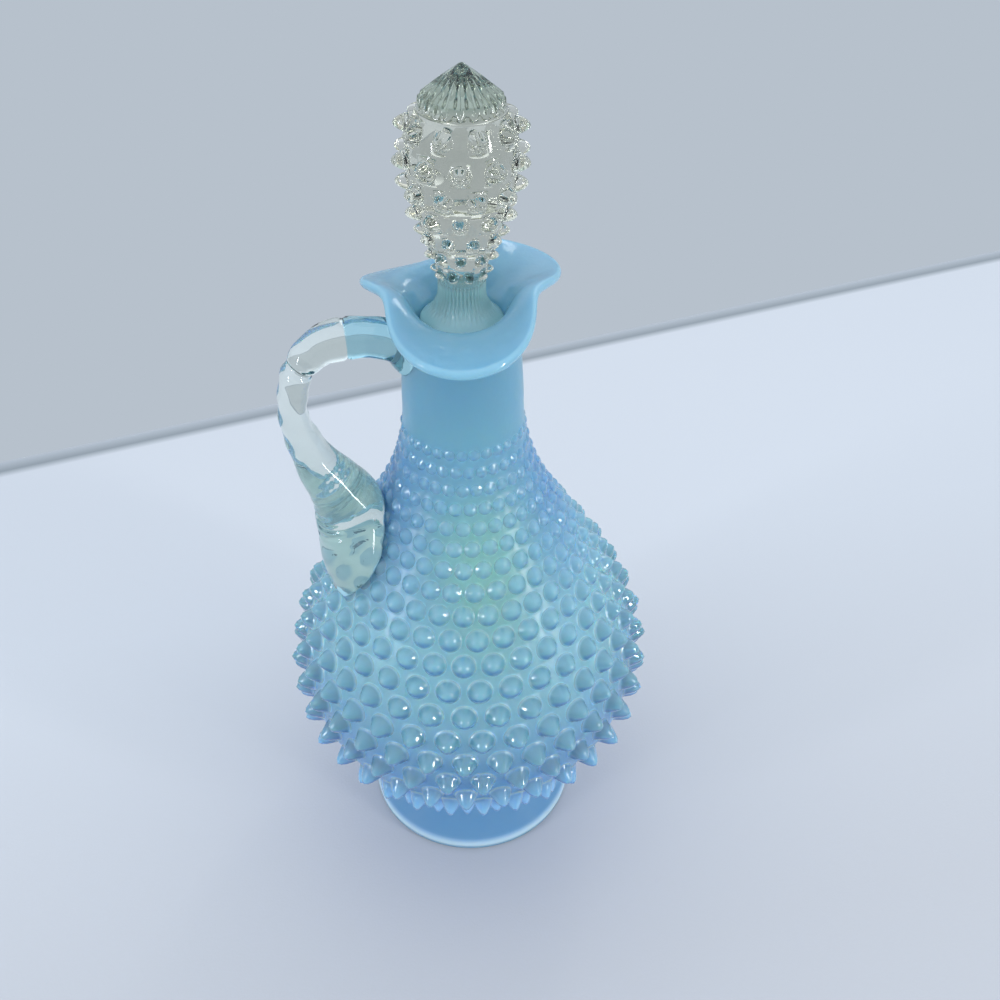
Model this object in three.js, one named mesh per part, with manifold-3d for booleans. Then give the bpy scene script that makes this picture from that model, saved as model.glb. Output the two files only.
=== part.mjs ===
// A handled glass decanter with a lift-out stopper.
//
// Three pieces: the blown bottle (foot, knobbed pear body, neck and three-lobed lip in one piece of
// glass), the applied clear handle, and the clear stopper. Millimetres, +Z up, the foot stands on
// Z = 0 and the vessel's axis is the Z axis. The handle lies towards -X.

import * as THREE from "three";
import { mergeVertices } from "three/addons/utils/BufferGeometryUtils.js";
import Module from "manifold-3d";

const wasm = await Module();
wasm.setup();

// Foot

const footRadius = 42;
const footRimHeight = 3.4;
const footRingWidth = 7;
const footEdgeRounding = 1.4;
const footRecessDepth = 4;
const footFlare = 1.6;
const waistRadius = 34;
const waistHeight = 27;

// Body, measured between the knobs

const bodyRadius = 63.5;
const bodyWidestHeight = 81;
const bodyUnderFullness = 3.3;
const bodyUnderFall = 3.3;
const shoulderFall = 2.73;
const wall = 5;
const floorThickness = 7;
const seatRunout = 12;

// Knobs on the body

const knobsPerRow = 32;
const knobTurn = 1.875;
const knobHeight = 6.3;
const knobHeightFall = 1.9;
const knobPitchAtWidest = 9.8;
const knobPitchAtNeck = 6.2;
const lowestKnobHeight = 47.5;
const bareShoulderLength = 10;

// Neck

const neckBaseRadius = 20;
const neckBaseHeight = 202;
const neckTopRadius = 18.8;
const neckLength = 20;

// Lip: three lobes that droop, with a crimp that stands up between each pair.
// One lobe is wider than the other two.

const lobes = 3;
const wideLobeAngle = -102;
const wideLobeSpread = 0.25;
const wideLobeDroop = 1.8;
const lobeRadius = 38;
const crimpRadius = 23.8;
const lobeRise = 12;
const crimpRise = 18.7;
const foldRise = 17;
const foldSwing = 4;
const lipThickness = 3.4;
const lipUnderThickness = 5.4;

// The two back lobes are unlike: one is pulled in and down, one out and up.
// Each pull has the angle of its middle and the angle to where it ends, on either side.

const rimPulls = [
  { angle: 108, spread: 52, inward: 5, down: 3.5 },
  { angle: 50, spread: 45, inward: -1.5, down: -0.8 },
];

// Stopper, from the plug up. The plug's top lies above the foot of the lip.

const plugSeatRise = 6;
const plugLength = 32;
const plugTopRadius = 13.2;
const plugBottomRadius = 11.2;
const plugEdgeRounding = 1.5;
const plugClearance = 0.35;
const plugShoulderLength = 8;
const plugShoulderRadius = 9.4;
const stemLength = 7;
const stemRadius = 7.4;
const fluteDepth = 0.5;
const headLength = 49.5;
const headRadius = 16.2;
const headWidestRise = 40;
const headFall = 1.5;
const headTopRounding = 0.35;
const capSideLength = 3.5;
const capConeLength = 6;
const capPointLength = 3;
const capRadius = 12.3;
const capPointRadius = 4.5;
const capRibDepth = 1;

// Knobs on the stopper's head

const stopperTurn = 3;
const stopperKnobs = 10;
const stopperKnobRows = 7;
const stopperKnobHeight = 4.3;
const stopperKnobPitchFall = 0.92;
const topKnobGap = 3.6;
const lowKnobGap = 1.6;

// Handle

const handleGap = 0.42;
const handleTopDrop = 1;
const handleRootSink = 3.5;
const handleRootDrop = 4.5;
const handleRootSwell = 1.7;
const handleRootSpread = 1.3;
const handleTuckLength = 3;
const handleTuckRise = 1.5;
const handleBridgeStart = 10;
const handleBridgeEnd = 0.64;
const handleBridgeRise = 4;
const handleBend = 0.88;
const handleBendDrop = 2.2;
const handleShoulderInset = 1.6;
const handleShoulderDrop = 9;
const handleTopThickness = 13.4;
const handleWidth = 12;
const handleReach = 55.3;
const handleReachDrop = 21;
const handleRodThickness = 9.6;
const heelDrop = 42;
const heelThickness = 20.5;

// Two bends between the reach and the heel: shares of the way across, down and in thickness

const upperBend = [0.38, 0.49, 0.36];
const lowerBend = [0.74, 0.75, 0.72];

// The pad where the handle is pressed onto the body

const padLength = 30;
const padFall = 0.8;
const padHeelShare = 0.72;
const padTipShare = 0.7;
const padWidth = 37;
const padEdge = 1.2;
const padSink = 2;

// Fineness of the meshes

const bottleColumns = 2 * knobsPerRow;
const footRings = 5;
const lipRings = 5;
const cavityRings = 12;
const columnsPerKnob = 4;
const stopperColumns = columnsPerKnob * stopperKnobs;
const handleSides = 18;
const handleSteps = 44;

// Heights that follow from the sizes above

const neckTopHeight = neckBaseHeight + neckLength;
const plugTopHeight = neckTopHeight + plugSeatRise;
const plugBottomHeight = plugTopHeight - plugLength;
const stemBottom = plugTopHeight + plugShoulderLength;
const headBottom = stemBottom + stemLength;
const capBottom = headBottom + headLength;
const capShoulder = capBottom + capSideLength;
const capPointBottom = capShoulder + capConeLength;
const stopperTop = capPointBottom + capPointLength;
const handleTopHeight = neckTopHeight - handleTopDrop;
const handleReachHeight = handleTopHeight - handleReachDrop;
const heelHeight = neckBaseHeight - heelDrop;

// The bore of the neck is the plug's taper, a clearance wider

const boreTopRadius = plugTopRadius + plugClearance;
const boreBottomRadius = plugBottomRadius + plugClearance;

const radians = THREE.MathUtils.degToRad;
const lerp = THREE.MathUtils.lerp;

// One closed surface from rings of points. A ring of one point closes an end.
// Each four-sided patch is split along its shorter diagonal.

function surfaceFromRings(rings) {
  const positions = rings.flat().flatMap((point) => point.toArray());
  const starts = [];
  let count = 0;
  for (const points of rings) {
    starts.push(count);
    count += points.length;
  }
  const columns = Math.max(...rings.map((points) => points.length));
  const index = [];
  for (let i = 0; i + 1 < rings.length; i += 1) {
    const lower = rings[i];
    const upper = rings[i + 1];
    for (let j = 0; j < columns; j += 1) {
      const next = (j + 1) % columns;
      const a = starts[i] + (lower.length === 1 ? 0 : j);
      const b = starts[i] + (lower.length === 1 ? 0 : next);
      const c = starts[i + 1] + (upper.length === 1 ? 0 : next);
      const d = starts[i + 1] + (upper.length === 1 ? 0 : j);
      if (lower.length === 1) {
        index.push(a, c, d);
      } else if (upper.length === 1) {
        index.push(a, b, c);
      } else if (lower[j].distanceTo(upper[next]) <= lower[next].distanceTo(upper[j])) {
        index.push(a, b, c, a, c, d);
      } else {
        index.push(a, b, d, b, c, d);
      }
    }
  }
  const geometry = new THREE.BufferGeometry();
  geometry.setAttribute("position", new THREE.Float32BufferAttribute(positions, 3));
  geometry.setIndex(index);
  geometry.computeVertexNormals();
  return geometry;
}

function pole(height) {
  return [new THREE.Vector3(0, 0, height)];
}

// A ring about the axis. pointAt gives [radius, height] for a column's number and its angle.

function ring(columns, turn, pointAt) {
  const points = [];
  for (let j = 0; j < columns; j += 1) {
    const angle = radians(turn) + (2 * Math.PI * j) / columns;
    const [radius, height] = pointAt(j, angle);
    points.push(new THREE.Vector3(radius * Math.cos(angle), radius * Math.sin(angle), height));
  }
  return points;
}

// Outside of the foot, body and neck, between the knobs: radius at a height

function wallRadius(height) {
  if (height < waistHeight) {
    const drop = (waistHeight - height) / (waistHeight - footRimHeight);
    return waistRadius + (footRadius - waistRadius) * drop ** footFlare;
  }
  if (height < bodyWidestHeight) {
    const drop = (bodyWidestHeight - height) / (bodyWidestHeight - waistHeight);
    return waistRadius + (bodyRadius - waistRadius) * (1 - drop ** bodyUnderFullness) ** bodyUnderFall;
  }
  if (height < neckBaseHeight) {
    const rise = (height - bodyWidestHeight) / (neckBaseHeight - bodyWidestHeight);
    return neckBaseRadius + (bodyRadius - neckBaseRadius) * (1 - rise * rise) ** shoulderFall;
  }
  const rise = (height - neckBaseHeight) / (neckTopHeight - neckBaseHeight);
  return lerp(neckBaseRadius, neckTopRadius, Math.min(rise, 1));
}

// Outward normal of that wall, as [radial, upward]

function wallNormal(height) {
  const step = 0.2;
  const slope = (wallRadius(height + step) - wallRadius(height - step)) / (2 * step);
  const length = Math.hypot(1, slope);
  return [1 / length, -slope / length];
}

function offWall(height, distance) {
  const [outward, upward] = wallNormal(height);
  return [wallRadius(height) + distance * outward, height + distance * upward];
}

// Knob rows: heights on the wall, whose pitch along it shrinks with the body's radius

function knobPitch(radius) {
  const share = (radius - neckBaseRadius) / (bodyRadius - neckBaseRadius);
  return lerp(knobPitchAtNeck, knobPitchAtWidest, share);
}

function knobRowHeights() {
  const heights = [];
  let height = lowestKnobHeight;
  while (height < neckBaseHeight - bareShoulderLength) {
    heights.push(height);
    const [outward] = wallNormal(height);
    height += knobPitch(wallRadius(height)) * outward;
  }
  return heights;
}

function knobHeightAt(height) {
  const shrink = height < bodyWidestHeight ? 1 : wallRadius(height) / bodyRadius;
  return knobHeight * shrink ** knobHeightFall;
}

// Lip: 1 on the middle of a lobe, -1 in the middle of a crimp

function lobeShare(angle) {
  const fromWide = angle - radians(wideLobeAngle);
  return Math.cos(lobes * (fromWide - wideLobeSpread * Math.sin(fromWide)));
}

// How far the rim is pulled [inward, down] at an angle, to make its back lobes unlike

function rimPull(angle) {
  let inward = 0;
  let down = 0;
  for (const pull of rimPulls) {
    const turn = THREE.MathUtils.euclideanModulo(angle - radians(pull.angle) + Math.PI, 2 * Math.PI);
    const away = Math.min(1, Math.abs(turn - Math.PI) / radians(pull.spread));
    const share = (1 + Math.cos(Math.PI * away)) / 2;
    inward += share * pull.inward;
    down += share * pull.down;
  }
  return [inward, down];
}

function rimRadius(angle) {
  return lerp(crimpRadius, lobeRadius, (1 + lobeShare(angle)) / 2) - rimPull(angle)[0];
}

function rimHeight(angle) {
  const droop = wideLobeDroop * Math.cos(angle - radians(wideLobeAngle));
  const rise = lerp(crimpRise, lobeRise, (1 + lobeShare(angle)) / 2);
  return neckTopHeight + rise - droop - rimPull(angle)[1];
}

// A curve from one point to another that sets off towards a third

function bend(from, towards, to, share) {
  const radius = (1 - share) ** 2 * from[0] + 2 * share * (1 - share) * towards[0] + share ** 2 * to[0];
  const height = (1 - share) ** 2 * from[1] + 2 * share * (1 - share) * towards[1] + share ** 2 * to[1];
  return [radius, height];
}

function foldRadius(angle) {
  return (neckTopRadius + boreTopRadius) / 2 + (foldSwing * (1 + lobeShare(angle))) / 2;
}

function lipUnderside(angle, share, grow) {
  const from = [neckTopRadius + grow, neckTopHeight];
  const towards = [
    foldRadius(angle) + lipThickness + grow,
    neckTopHeight + foldRise - lipUnderThickness - grow,
  ];
  const to = [rimRadius(angle) - lipThickness / 4, rimHeight(angle) - lipThickness - grow];
  return bend(from, towards, to, share);
}

function lipTop(angle, share) {
  const from = [boreTopRadius, plugTopHeight];
  const towards = [foldRadius(angle), neckTopHeight + foldRise];
  const to = [rimRadius(angle) - lipThickness / 4, rimHeight(angle)];
  return bend(from, towards, to, share);
}

// Even shares from one value to another, both included

function shares(from, to, steps) {
  return Array.from({ length: steps + 1 }, (_, step) => lerp(from, to, step / steps));
}

function bottleRing(pointAt) {
  return ring(bottleColumns, knobTurn, pointAt);
}

// Rings of the bottle's outside, from the foot's edge to the rim, grown by a distance

function outsideRings(grow) {
  const plain = (height) => bottleRing(() => offWall(height, grow));
  const foot = [
    bottleRing(() => [footRadius - footEdgeRounding + grow, 0]),
    bottleRing(() => [footRadius + grow, footEdgeRounding]),
    ...shares(footRimHeight, waistHeight, footRings).map(plain),
    plain((waistHeight + lowestKnobHeight) / 2),
  ];
  const knobs = knobRowHeights().map((height, row) => {
    const distance = knobHeightAt(height);
    return bottleRing((j) => offWall(height, grow + ((j + row) % 2 === 0 ? distance : 0)));
  });
  const neck = [
    plain(neckBaseHeight - bareShoulderLength / 3),
    plain(neckBaseHeight + neckLength / 6),
    plain(neckBaseHeight + neckLength / 2),
  ];
  const underside = shares(0, 1, lipRings).map((share) => {
    return bottleRing((j, angle) => lipUnderside(angle, share, grow));
  });
  const edge = bottleRing((j, angle) => {
    return [rimRadius(angle) + lipThickness / 4 + grow, rimHeight(angle) - lipThickness / 2];
  });
  return [...foot, ...knobs, ...neck, ...underside, edge];
}

// Rings of the bottle's inside, from the rim down to the floor of the body

function insideRings() {
  const throat = shares(1, 0, lipRings).map((share) => {
    return bottleRing((j, angle) => lipTop(angle, share));
  });
  const seatEnd = plugBottomHeight - plugClearance;
  const floorHeight = waistHeight + floorThickness;
  const cavity = shares(seatEnd - seatRunout, floorHeight + wall, cavityRings).map((height) => {
    return bottleRing(() => offWall(height, -wall));
  });
  return [
    ...throat,
    bottleRing(() => [boreBottomRadius, seatEnd]),
    ...cavity,
    bottleRing(() => [waistRadius / 2, floorHeight]),
    pole(floorHeight),
  ];
}

function bottleGeometry() {
  const ringInner = footRadius - footEdgeRounding - footRingWidth;
  const underside = [
    pole(footRecessDepth),
    bottleRing(() => [ringInner - footRecessDepth, footRecessDepth]),
    bottleRing(() => [ringInner, 0]),
  ];
  return surfaceFromRings([...underside, ...outsideRings(0), ...insideRings()]);
}

// Stopper: the head's radius between its knobs

function headRadiusAt(height) {
  const widest = headBottom + headWidestRise;
  if (height > widest) {
    const rise = (height - widest) / (capBottom - widest);
    return headRadius * Math.sqrt(1 - headTopRounding * rise * rise);
  }
  const drop = (widest - height) / headWidestRise;
  return stemRadius + (headRadius - stemRadius) * (1 - drop * drop) ** headFall;
}

// Heights of the head's knob rows from the lowest up: the pitch grows towards the top

function headRowHeights() {
  const span = headLength - topKnobGap - lowKnobGap;
  const whole = 1 - stopperKnobPitchFall ** (stopperKnobRows - 1);
  const heights = [];
  for (let row = stopperKnobRows - 1; row >= 0; row -= 1) {
    heights.push(capBottom - topKnobGap - (span * (1 - stopperKnobPitchFall ** row)) / whole);
  }
  return heights;
}

function stopperGeometry() {
  const turned = (pointAt) => ring(stopperColumns, stopperTurn, pointAt);
  const circle = (radius, height) => turned(() => [radius, height]);
  const ribbed = (radius, height, depth) => turned((j) => [radius - (j % 2) * depth, height]);
  const rows = headRowHeights();
  const head = rows.flatMap((height, row) => {
    const radius = headRadiusAt(height);
    const rise = (stopperKnobHeight * radius) / headRadius;
    const tipColumn = (stopperKnobRows - row) % 2 === 0 ? 0 : columnsPerKnob / 2;
    const isTip = (j) => j % columnsPerKnob === tipColumn;
    const above = (height + (rows[row + 1] ?? capBottom)) / 2;
    return [turned((j) => [radius + (isTip(j) ? rise : 0), height]), circle(headRadiusAt(above), above)];
  });
  return surfaceFromRings([
    pole(plugBottomHeight),
    circle(plugBottomRadius - plugEdgeRounding, plugBottomHeight),
    circle(plugBottomRadius, plugBottomHeight + plugEdgeRounding),
    circle(plugTopRadius, plugTopHeight),
    circle(plugShoulderRadius, (plugTopHeight + stemBottom) / 2),
    ribbed(stemRadius, stemBottom, fluteDepth),
    ribbed(stemRadius, headBottom, fluteDepth),
    ...head,
    ribbed(capRadius, capBottom, capRibDepth),
    ribbed(capRadius, capShoulder, capRibDepth),
    circle(capPointRadius, capPointBottom),
    pole(stopperTop),
  ]);
}

// Handle: stations of its middle line, as distance from the axis, height, thickness, width,
// and how far the section bends round the body, from 0 on the rod to 1 on the pad

function knobTipRadius(height) {
  return wallRadius(height) + knobHeightAt(height);
}

function handleStations() {
  const root = neckTopRadius;
  const top = handleTopHeight;
  const bridge = top + handleBridgeRise;
  const pad = (share, width) => {
    const height = heelHeight - padLength * share;
    const rise = heelThickness * (1 - share) ** padFall + padEdge;
    return [knobTipRadius(height) + (rise - padSink) / 2, height, rise + padSink, width, 1];
  };
  const heel = pad(0, padHeelShare * padWidth);
  const between = (across, down, growth) => [
    lerp(handleReach, heel[0], across),
    lerp(handleReachHeight, heel[1], down),
    lerp(handleRodThickness, heel[2], growth),
    lerp(handleWidth, heel[3], growth),
    across * growth,
  ];
  return [
    [
      root - handleRootSink,
      top - handleRootDrop,
      handleRootSwell * handleTopThickness,
      handleRootSpread * handleWidth,
      0,
    ],
    [root + handleTuckLength, top + handleTuckRise, handleTopThickness, handleWidth, 0],
    [root + handleBridgeStart, bridge, handleTopThickness, handleWidth, 0],
    [lerp(root, handleReach, handleBridgeEnd), bridge, handleTopThickness, handleWidth, 0],
    [lerp(root, handleReach, handleBend), top - handleBendDrop, handleRodThickness, handleWidth, 0],
    [handleReach - handleShoulderInset, top - handleShoulderDrop, handleRodThickness, handleWidth, 0],
    [handleReach, handleReachHeight, handleRodThickness, handleWidth, 0],
    between(...upperBend),
    between(...lowerBend),
    heel,
    pad(1 / 3, padWidth),
    pad(2 / 3, padWidth),
    pad(1, padTipShare * padWidth),
  ];
}

function handleSolid() {
  const stations = handleStations();
  const middle = new THREE.CatmullRomCurve3(stations.map((s) => new THREE.Vector3(-s[0], 0, s[1])));
  const section = new THREE.CatmullRomCurve3(stations.map((s) => new THREE.Vector3(s[2], s[3], s[4])));
  const rings = [];
  for (let step = 0; step <= handleSteps; step += 1) {
    const share = step / handleSteps;
    const centre = middle.getPoint(share);
    const along = middle.getTangent(share);
    const across = new THREE.Vector3(0, 1, 0);
    const outward = new THREE.Vector3().crossVectors(across, along).normalize();
    const size = section.getPoint(share);
    const points = [];
    for (let j = 0; j < handleSides; j += 1) {
      const angle = (2 * Math.PI * j) / handleSides;
      const sideways = (size.y / 2) * Math.sin(angle);
      const point = centre.clone();
      point.addScaledVector(outward, (size.x / 2) * Math.cos(angle));
      point.addScaledVector(across, sideways);
      point.x += (size.z * sideways ** 2) / (2 * Math.abs(centre.x));
      points.push(point);
    }
    rings.push(points);
  }
  return surfaceFromRings([[middle.getPoint(0)], ...rings, [middle.getPoint(1)]]);
}

function toManifold(geometry) {
  const bare = new THREE.BufferGeometry();
  bare.setAttribute("position", geometry.getAttribute("position"));
  bare.setIndex(geometry.getIndex());
  const merged = mergeVertices(bare, 1e-4);
  const mesh = new wasm.Mesh({
    numProp: 3,
    vertProperties: new Float32Array(merged.getAttribute("position").array),
    triVerts: new Uint32Array(merged.getIndex().array),
  });
  return new wasm.Manifold(mesh);
}

function fromManifold(solid) {
  const mesh = solid.getMesh();
  const geometry = new THREE.BufferGeometry();
  geometry.setAttribute("position", new THREE.BufferAttribute(mesh.vertProperties, 3));
  geometry.setIndex(new THREE.BufferAttribute(mesh.triVerts, 1));
  geometry.computeVertexNormals();
  return geometry;
}

// The handle is laid on the knobs and the neck: it is cut back to a gap from the bottle's outside

function handleGeometry() {
  const rod = toManifold(handleSolid());
  const lid = pole(neckTopHeight + crimpRise);
  const bottle = toManifold(surfaceFromRings([pole(0), ...outsideRings(handleGap), lid]));
  const pieces = rod.subtract(bottle).decompose();
  pieces.sort((a, b) => b.volume() - a.volume());
  return fromManifold(pieces[0]);
}

function piece(name, geometry, material) {
  const mesh = new THREE.Mesh(geometry, new THREE.MeshStandardMaterial(material));
  mesh.name = name;
  return mesh;
}

const opalescentGlass = { color: 0x7fb4dc, roughness: 0.12, metalness: 0 };
const clearGlass = { color: 0xd8e2e0, roughness: 0.05, metalness: 0 };

const decanter = new THREE.Group();
decanter.add(piece("bottle", bottleGeometry(), opalescentGlass));
decanter.add(piece("handle", handleGeometry(), clearGlass));
decanter.add(piece("stopper", stopperGeometry(), clearGlass));

export default decanter;
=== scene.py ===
"""A knobbed glass decanter with an applied handle and a lift-out stopper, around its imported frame.

The bottle is blown blue opalescent glass, the handle and the stopper are clear glass.
Sizes in the geometry below are millimetres in the frame's axes; meshes are made in metres.
"""

from functools import partial

import bpy
import numpy as np
from bpy.props import FloatProperty, FloatVectorProperty, IntProperty, PointerProperty
from mathutils import Euler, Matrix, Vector


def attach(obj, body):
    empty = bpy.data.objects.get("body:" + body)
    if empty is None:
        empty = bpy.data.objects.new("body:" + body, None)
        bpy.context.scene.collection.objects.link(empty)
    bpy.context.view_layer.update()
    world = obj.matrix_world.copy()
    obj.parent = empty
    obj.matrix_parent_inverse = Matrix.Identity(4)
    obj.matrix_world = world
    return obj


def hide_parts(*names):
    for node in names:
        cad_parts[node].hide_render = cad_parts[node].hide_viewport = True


bl_info = {
    "name": "Knobbed glass decanter",
    "version": (1, 0, 0),
    "blender": (4, 5, 0),
    "location": "View3D > Sidebar > Decanter",
    "description": "Makes the glass of a handled decanter with a lift-out stopper",
    "category": "Add Mesh",
}

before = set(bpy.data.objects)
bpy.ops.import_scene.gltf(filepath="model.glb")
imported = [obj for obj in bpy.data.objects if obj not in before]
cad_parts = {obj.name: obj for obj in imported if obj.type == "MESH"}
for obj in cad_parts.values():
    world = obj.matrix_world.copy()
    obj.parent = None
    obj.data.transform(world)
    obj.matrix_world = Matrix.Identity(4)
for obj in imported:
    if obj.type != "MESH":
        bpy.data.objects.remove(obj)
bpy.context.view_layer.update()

MM = 0.001
TURN = 2 * np.pi

# Foot and body, measured between the knobs

FOOT_RADIUS = 42
FOOT_RIM_HEIGHT = 3.4
FOOT_BAND_TOP = 8
FOOT_RING_WIDTH = 7
FOOT_EDGE_ROUNDING = 1.4
FOOT_RECESS_DEPTH = 4
FOOT_FLARE = 1.6
WAIST_RADIUS = 34
WAIST_HEIGHT = 27
BODY_RADIUS = 63.5
BODY_WIDEST_HEIGHT = 81
BODY_UNDER_FULLNESS = 3.3
BODY_UNDER_FALL = 3.3
SHOULDER_FALL = 2.73
WALL = 5
FLOOR_THICKNESS = 7
SEAT_RUNOUT = 12

# Recess under the foot: distance in from its ring's edge, and height

RECESS = (
    (FOOT_RECESS_DEPTH + 0.6, FOOT_RECESS_DEPTH),
    (FOOT_RECESS_DEPTH - 0.6, FOOT_RECESS_DEPTH - 0.5),
    (0.9, 0.55),
    (-0.4, 0),
)

# Knobs on the body

KNOBS_PER_ROW = 32
KNOB_TURN = 1.875
KNOB_HEIGHT = 6.3
KNOB_HEIGHT_FALL = 1.9
KNOB_ROUNDING = 1.1
KNOB_LEAN = 0.9
KNOB_LARGEST_SHARE = 0.97
KNOB_PITCH_AT_WIDEST = 9.8
KNOB_PITCH_AT_NECK = 6.2
LOWEST_KNOB_HEIGHT = 47.5
BARE_BELOW_KNOBS = 5
BARE_ABOVE_KNOBS = 3.4
BARE_SHOULDER = 10

# How the knobs change up the body: heights, and how uneven, how much milkier than the wall and how
# clearly marked by their colour they are there

UNEVEN_HEIGHTS, UNEVEN_GROWTH = (158, 178), (1, 3)
KNOB_MILK_HEIGHTS, KNOB_MILK = (120, 175), (0.35, 0)
KNOBS_SHOWN_HEIGHTS, KNOBS_SHOWN = (115, 165), (1, 0.3)

# Neck and lip

NECK_BASE_RADIUS = 20
NECK_BASE_HEIGHT = 202
NECK_TOP_RADIUS = 18.8
NECK_TOP_HEIGHT = 222
LOBES = 3
WIDE_LOBE_ANGLE = np.radians(-102)
WIDE_LOBE_SPREAD = 0.25
WIDE_LOBE_DROOP = 1.8
LOBE_RADIUS = 38
CRIMP_RADIUS = 23.8
LOBE_RISE = 12
CRIMP_RISE = 18.7
FOLD_RISE = 17
FOLD_SWING = 4
LIP_THICKNESS = 3.4
LIP_UNDER_THICKNESS = 5.4
LIP_TOP = 242.5

# Pulls on the rim: angle of the middle, angle to its end, how far in and how far down

RIM_PULLS = ((108, 52, 5, 3.5), (50, 45, -1.5, -0.8))

# Patch of painted light on the front: a greener glow where the light coming through the vessel gathers

FRONT_GLOW_ANGLE = np.radians(-93)
FRONT_GLOW_HEIGHT = 150
FRONT_GLOW_HALF_WIDTH = 24
FRONT_GLOW_HALF_HEIGHT = 34

# Stopper

PLUG_TOP_HEIGHT = 228
PLUG_BOTTOM_HEIGHT = 196
PLUG_TOP_RADIUS = 13.2
PLUG_BOTTOM_RADIUS = 11.2
PLUG_EDGE_ROUNDING = 1.5
PLUG_CLEARANCE = 0.35
STEM_RADIUS = 7.4
HEAD_BOTTOM = 243
HEAD_RADIUS = 16.2
HEAD_WIDEST = 283
HEAD_FALL = 1.5
HEAD_TOP_ROUNDING = 0.35
CAP_BOTTOM = 292.5
CAP_SHOULDER = 296
STOPPER_TOP = 305
STOPPER_TURN = 3
STOPPER_LEAN = np.radians(1.2)
LEAN_TOWARDS = np.radians(-15)
STOPPER_KNOBS = 10
STOPPER_KNOB_ROWS = 7
STOPPER_KNOB_HEIGHT = 4.3
STOPPER_KNOB_PITCH_FALL = 0.92
STOPPER_KNOB_LARGEST_SHARE = 0.98
TOP_KNOB_GAP = 3.6
LOW_KNOB_GAP = 1.6
HEAD_TO_CAP_GAP = 0.1
FLUTE_START = (231.0, 232.2)
CAP_FLUTE_ROUNDING = 0.8

# Stem above the plug: rise above the plug's top, and radius

STEM = (
    (0.4, 12.8), (1.2, 11.8), (2.2, 10.8), (3.2, 9.95), (4.2, 9.25), (5.4, 8.55), (6.6, 8.0),
    (7.8, 7.6), (9.5, 7.4), (11.5, 7.4), (13.5, 7.4), (15, 7.5),
)

# Cap: rise above its bottom, radius, and share of the flutes' depth

CAP = (
    (0.3, 12.3, 0), (1.0, 12.35, 0), (1.5, 12.35, 0.7), (2.3, 12.3, 1), (3.5, 12.1, 1), (4.3, 11.2, 1),
    (5.9, 9.2, 0.9), (7.3, 7.4, 0.75), (8.5, 5.9, 0.5), (9.1, 5.1, 0.2), (9.7, 4.3, 0), (10.6, 3.0, 0),
    (11.6, 1.6, 0), (12.25, 0.7, 0),
)

# The plug is ground, and the stem above it was never polished as clear as the head. Their colour is
# partly painted light: the blue that the lip and the bottle round them throw on them.

FROST_HEIGHTS = (PLUG_TOP_HEIGHT, 231, 240, HEAD_BOTTOM + 1)
FROST = (0.8, 0.7, 0.6, 0)

# Handle

HANDLE_TOP = 221
HANDLE_ROOT_SINK = 3.5
HANDLE_ROOT_DROP = 2.5
HANDLE_TOP_THICKNESS = 13.4
HANDLE_WIDTH = 12
HANDLE_REACH = 55.3
HANDLE_REACH_HEIGHT = 200
HANDLE_ROD_THICKNESS = 9.6
HEEL_HEIGHT = 160
HEEL_THICKNESS = 20.5
HEEL_SINK = 2
PAD_LENGTH = 30
PAD_WIDTH = 37
PAD_EDGE = 1.2
PAD_FALL = 0.8
PAD_SINK = 5.4
FUSED_REACH = 2

# Waves along the rod: radians in a millimetre, how far these swing, and how fast

RIPPLE_PACE = 0.55
RIPPLE_SWING = 2
RIPPLE_SWING_PACE = 0.11

# Marks on the rod: distance along it, half length and how much thicker or thinner it is there.
# The first is the ring where two gathers meet, the others the knot at the bend.

ROD_MARKS = ((23, 0.7, -0.1), (36.5, 2.0, 0.05), (40.5, 1.3, -0.17), (44.5, 2.2, 0.06))

# Folds that the tool left across the pad: where they start and end along the handle, and their shape

PAD_FOLDS_START = 88
PAD_FOLDS_END = 122
PAD_FOLD_PITCH = 5.2
PAD_FOLD_BEND = 0.045

# Points round each piece, rings over each knob, and how finely the closest wall and lip are sought

CELL_COLUMNS = 12
INNER_COLUMNS = 4
INNER_RINGS = 4
STOPPER_CELL_COLUMNS = 32
STOPPER_INNER_COLUMNS = 11
STOPPER_KNOB_RINGS = 11
HANDLE_SIDES = 72
HANDLE_STEPS = 220
WALL_SEARCHES = 60
LIP_PLACES = 40
DISC_CROWDING = 0.18

# Stage, in metres and degrees. The floor's far edge runs a little askew, and along Y the floor passes
# from its near colour, painted shade close to the camera, to its far one between the two places of
# NEAR_FLOOR.

FLOOR_EDGE_MIDDLE = 0.2998
FLOOR_EDGE_SLOPE = 0.1172
FLOOR_REACH = 1.6
EDGE_WIDTH = 0.016
NEAR_FLOOR = (-0.1, 0.12)
CAMERA_PLACE = (-0.0647, -0.2886, 0.3975)
CAMERA_PITCH = -39.51
CAMERA_TURN = -15
CAMERA_LENS = 38.8
CAMERA_SENSOR = 36

# Windows: place, what each faces, width and height, watts, colour and angle of spread.
# The two in front give every knob its pair of glints.

WINDOWS = {
    "window_right": ((1.08, -1.08, 0.5), (0, 0, 0.12), (0.15, 0.8), 1.73, "FFFFFF", 80),
    "window_left": ((-1.5, -0.45, 0.52), (0, 0, 0.15), (0.15, 0.8), 1.48, "F4F8FF", 80),
    "window_back": ((0.6, 0.75, 0.9), (0, 0, 0.12), (0.14, 0.5), 0.8, "FFFFFF", 180),
}


def srgb(code):
    """A colour written as six hex digits, turned to linear red, green and blue."""
    parts = [int(code[i : i + 2], 16) / 255 for i in (0, 2, 4)]
    return tuple(p / 12.92 if p <= 0.04045 else ((p + 0.055) / 1.055) ** 2.4 for p in parts)


def colour(name, text, code):
    """A colour property whose default is a hex code."""
    return FloatVectorProperty(
        name=name, description=text, subtype="COLOR", size=3, min=0, max=1, default=srgb(code)
    )


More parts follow.
